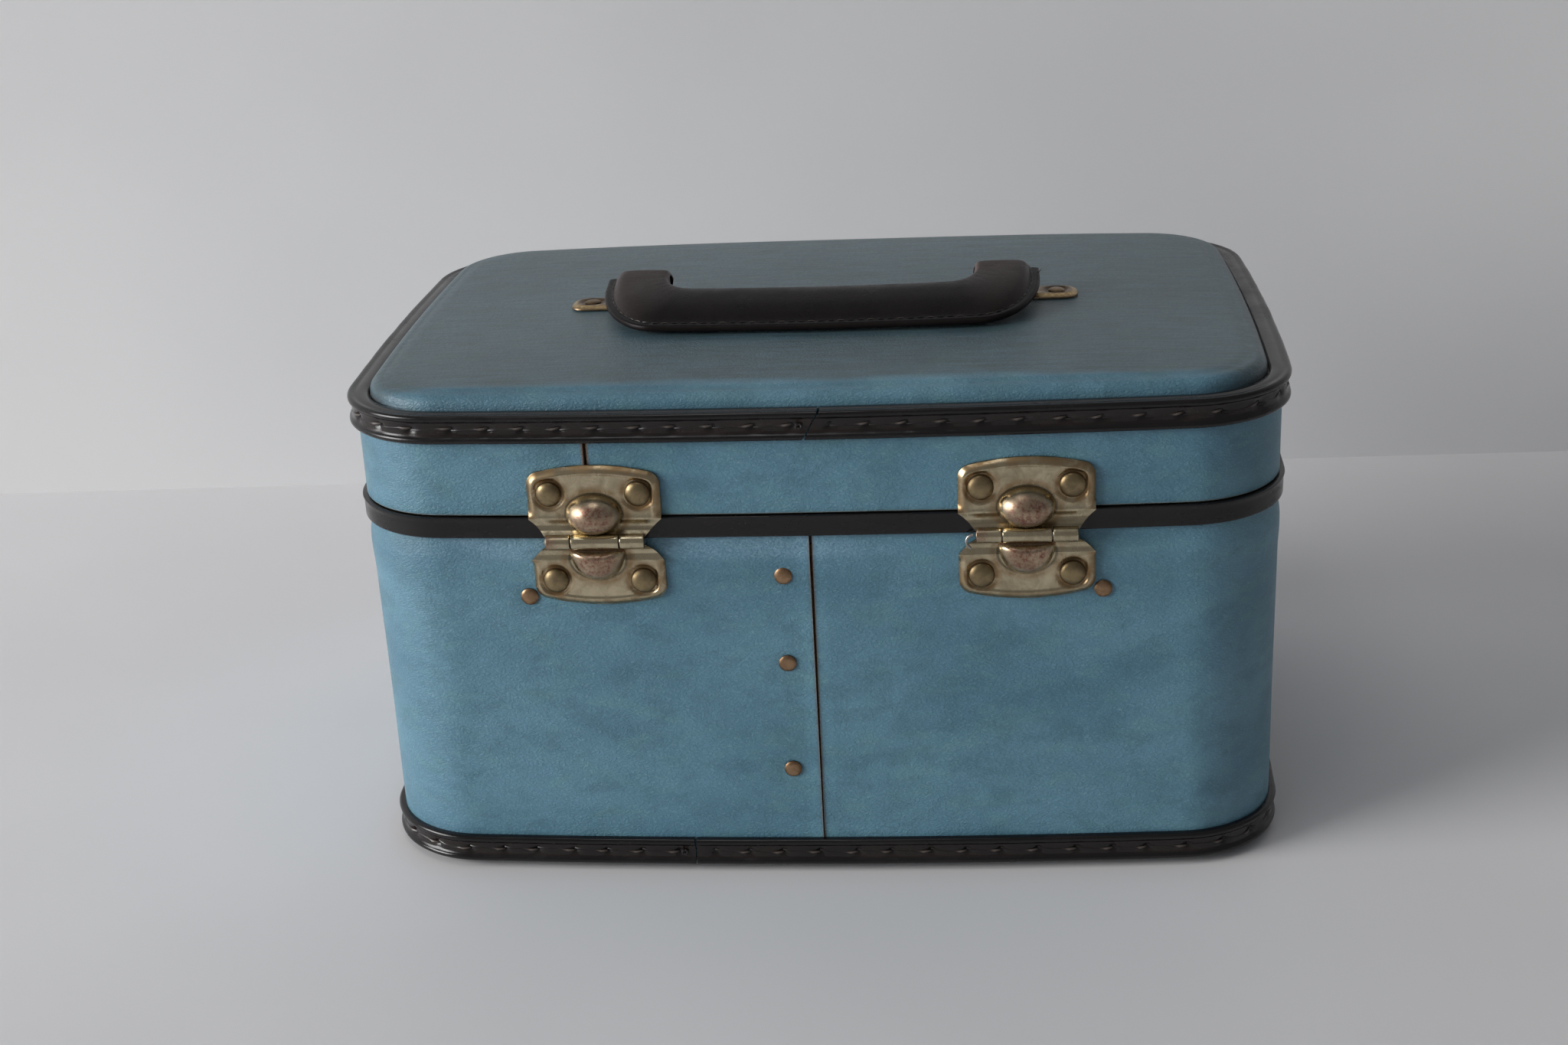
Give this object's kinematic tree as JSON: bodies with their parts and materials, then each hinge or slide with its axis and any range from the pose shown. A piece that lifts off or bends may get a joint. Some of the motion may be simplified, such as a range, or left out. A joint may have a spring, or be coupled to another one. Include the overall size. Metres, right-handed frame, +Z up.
{
  "type": "vanity case",
  "caption": "Small hard travel case with bowed sides, sewn bindings, a hinged lid with a folding handle, side-sliding latches, a lined interior and a mirror under the lid.",
  "frame": {"origin": "on the underside of the base panel, in the middle of the case's plan, where the case stands on the floor", "axes": "+Z up, +X along the case's length to the right as seen from the hinge side, +Y from the hinge side to the latch side"},
  "size_m": [0.3352, 0.2374, 0.197],
  "materials": {
    "leathercloth": "blue grained leathercloth glued over fibreboard, faded and rubbed",
    "binding": "near-black sewn binding, semi-gloss",
    "handle_leather": "near-black smooth leather, semi-gloss",
    "fibreboard": "raw brown fibreboard",
    "hinge_metal": "aged nickel-plated pressed sheet, worn to the brass",
    "rivet_brass": "aged brass, domed",
    "rivet_copper": "coppery, dull",
    "bracket_metal": "brown-toned plated brass, satin",
    "steel": "plain steel wire and strip",
    "lining_cloth": "pale blue-grey lining cloth on card",
    "elastic": "woven elastic band",
    "mirror_glass": "silvered flat glass",
    "frame_moulding": "dark moulding"
  },
  "bodies": {
    "case_body": {"base_lining": "lining_cloth", "base_panel": "leathercloth", "body_band": "leathercloth", "body_lining": "lining_cloth", "bottle_elastic": "elastic", "bottom_binding": "binding", "elastic_rivet_left": "rivet_copper", "elastic_rivet_right": "rivet_copper", "hinge_left_body_leaf": "hinge_metal", "hinge_left_body_rivet_a": "rivet_brass", "hinge_left_body_rivet_b": "rivet_brass", "hinge_left_pin": "steel", "hinge_right_body_leaf": "hinge_metal", "hinge_right_body_rivet_a": "rivet_brass", "hinge_right_body_rivet_b": "rivet_brass", "hinge_right_pin": "steel", "latch_left_plate": "hinge_metal", "latch_left_plate_rivet_a": "rivet_brass", "latch_left_plate_rivet_b": "rivet_brass", "latch_right_plate": "hinge_metal", "latch_right_plate_rivet_a": "rivet_brass", "latch_right_plate_rivet_b": "rivet_brass", "rim_trim": "binding", "seam_backing_strip": "fibreboard", "seam_rivet_bottom": "rivet_copper", "seam_rivet_middle": "rivet_copper", "seam_rivet_top": "rivet_copper"},
    "lid": {"bracket_left_rivet_a": "bracket_metal", "bracket_left_rivet_b": "bracket_metal", "bracket_right_rivet_a": "bracket_metal", "bracket_right_rivet_b": "bracket_metal", "handle_bracket_left": "bracket_metal", "handle_bracket_right": "bracket_metal", "hinge_left_lid_leaf": "hinge_metal", "hinge_left_lid_rivet_a": "rivet_brass", "hinge_left_lid_rivet_b": "rivet_brass", "hinge_right_lid_leaf": "hinge_metal", "hinge_right_lid_rivet_a": "rivet_brass", "hinge_right_lid_rivet_b": "rivet_brass", "latch_left_keeper": "hinge_metal", "latch_left_keeper_rivet_a": "rivet_brass", "latch_left_keeper_rivet_b": "rivet_brass", "latch_right_keeper": "hinge_metal", "latch_right_keeper_rivet_a": "rivet_brass", "latch_right_keeper_rivet_b": "rivet_brass", "lid_band": "leathercloth", "lid_ceiling": "lining_cloth", "lid_lining": "lining_cloth", "lid_panel": "leathercloth", "lid_seam_strip": "fibreboard", "mirror": "mirror_glass", "mirror_frame": "frame_moulding", "top_binding": "binding"},
    "handle": {"handle_core": "steel", "handle_cover": "handle_leather"},
    "latch_left_slider": {"latch_left_slider": "rivet_brass"},
    "latch_right_slider": {"latch_right_slider": "rivet_brass"}
  },
  "joints": [
    {"name": "lid_hinge", "type": "hinge", "parent": "case_body", "child": "lid", "pos_m": [0, -0.11447, 0.1315], "axis": [1, 0, 0], "range_deg": [0, 100]},
    {"name": "handle_swing", "type": "hinge", "parent": "lid", "child": "handle", "pos_m": [0, -0.0005, 0.19139], "axis": [-1, 0, 0], "range_deg": [0, 115]},
    {"name": "latch_left_slide", "type": "slide", "parent": "case_body", "child": "latch_left_slider", "axis": [-0.9995, -0.0312, 0], "range_m": [0, 0.004]},
    {"name": "latch_right_slide", "type": "slide", "parent": "case_body", "child": "latch_right_slider", "axis": [-0.9995, 0.0312, 0], "range_m": [0, 0.004]}
  ]
}
